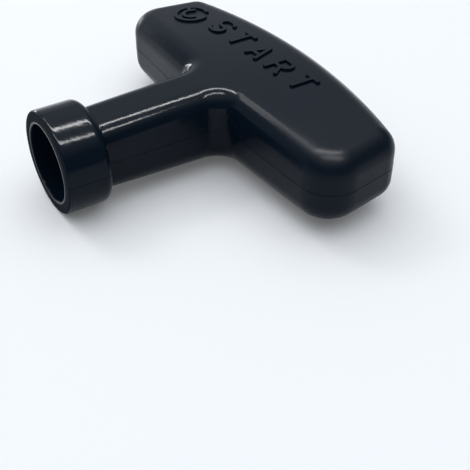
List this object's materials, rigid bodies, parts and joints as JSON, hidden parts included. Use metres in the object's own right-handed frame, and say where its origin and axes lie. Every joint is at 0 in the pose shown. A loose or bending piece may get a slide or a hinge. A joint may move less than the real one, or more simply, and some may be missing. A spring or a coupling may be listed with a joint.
{
  "type": "recoil starter handle",
  "caption": "T-shaped moulded pull handle for a recoil starter, with a round socket collar, a rope hole and a knot pocket behind the grip.",
  "frame": {"origin": "centre of the socket mouth, on the pull axis", "axes": "+Y along the pull axis from the mouth to the grip, +X along the grip in the reading direction of the lettering, +Z out of the lettered face"},
  "size_m": [0.1116, 0.0879, 0.03],
  "materials": {
    "moulded_plastic": "semi-gloss moulded black"
  },
  "bodies": {
    "root": {"handle": "moulded_plastic"}
  },
  "joints": []
}
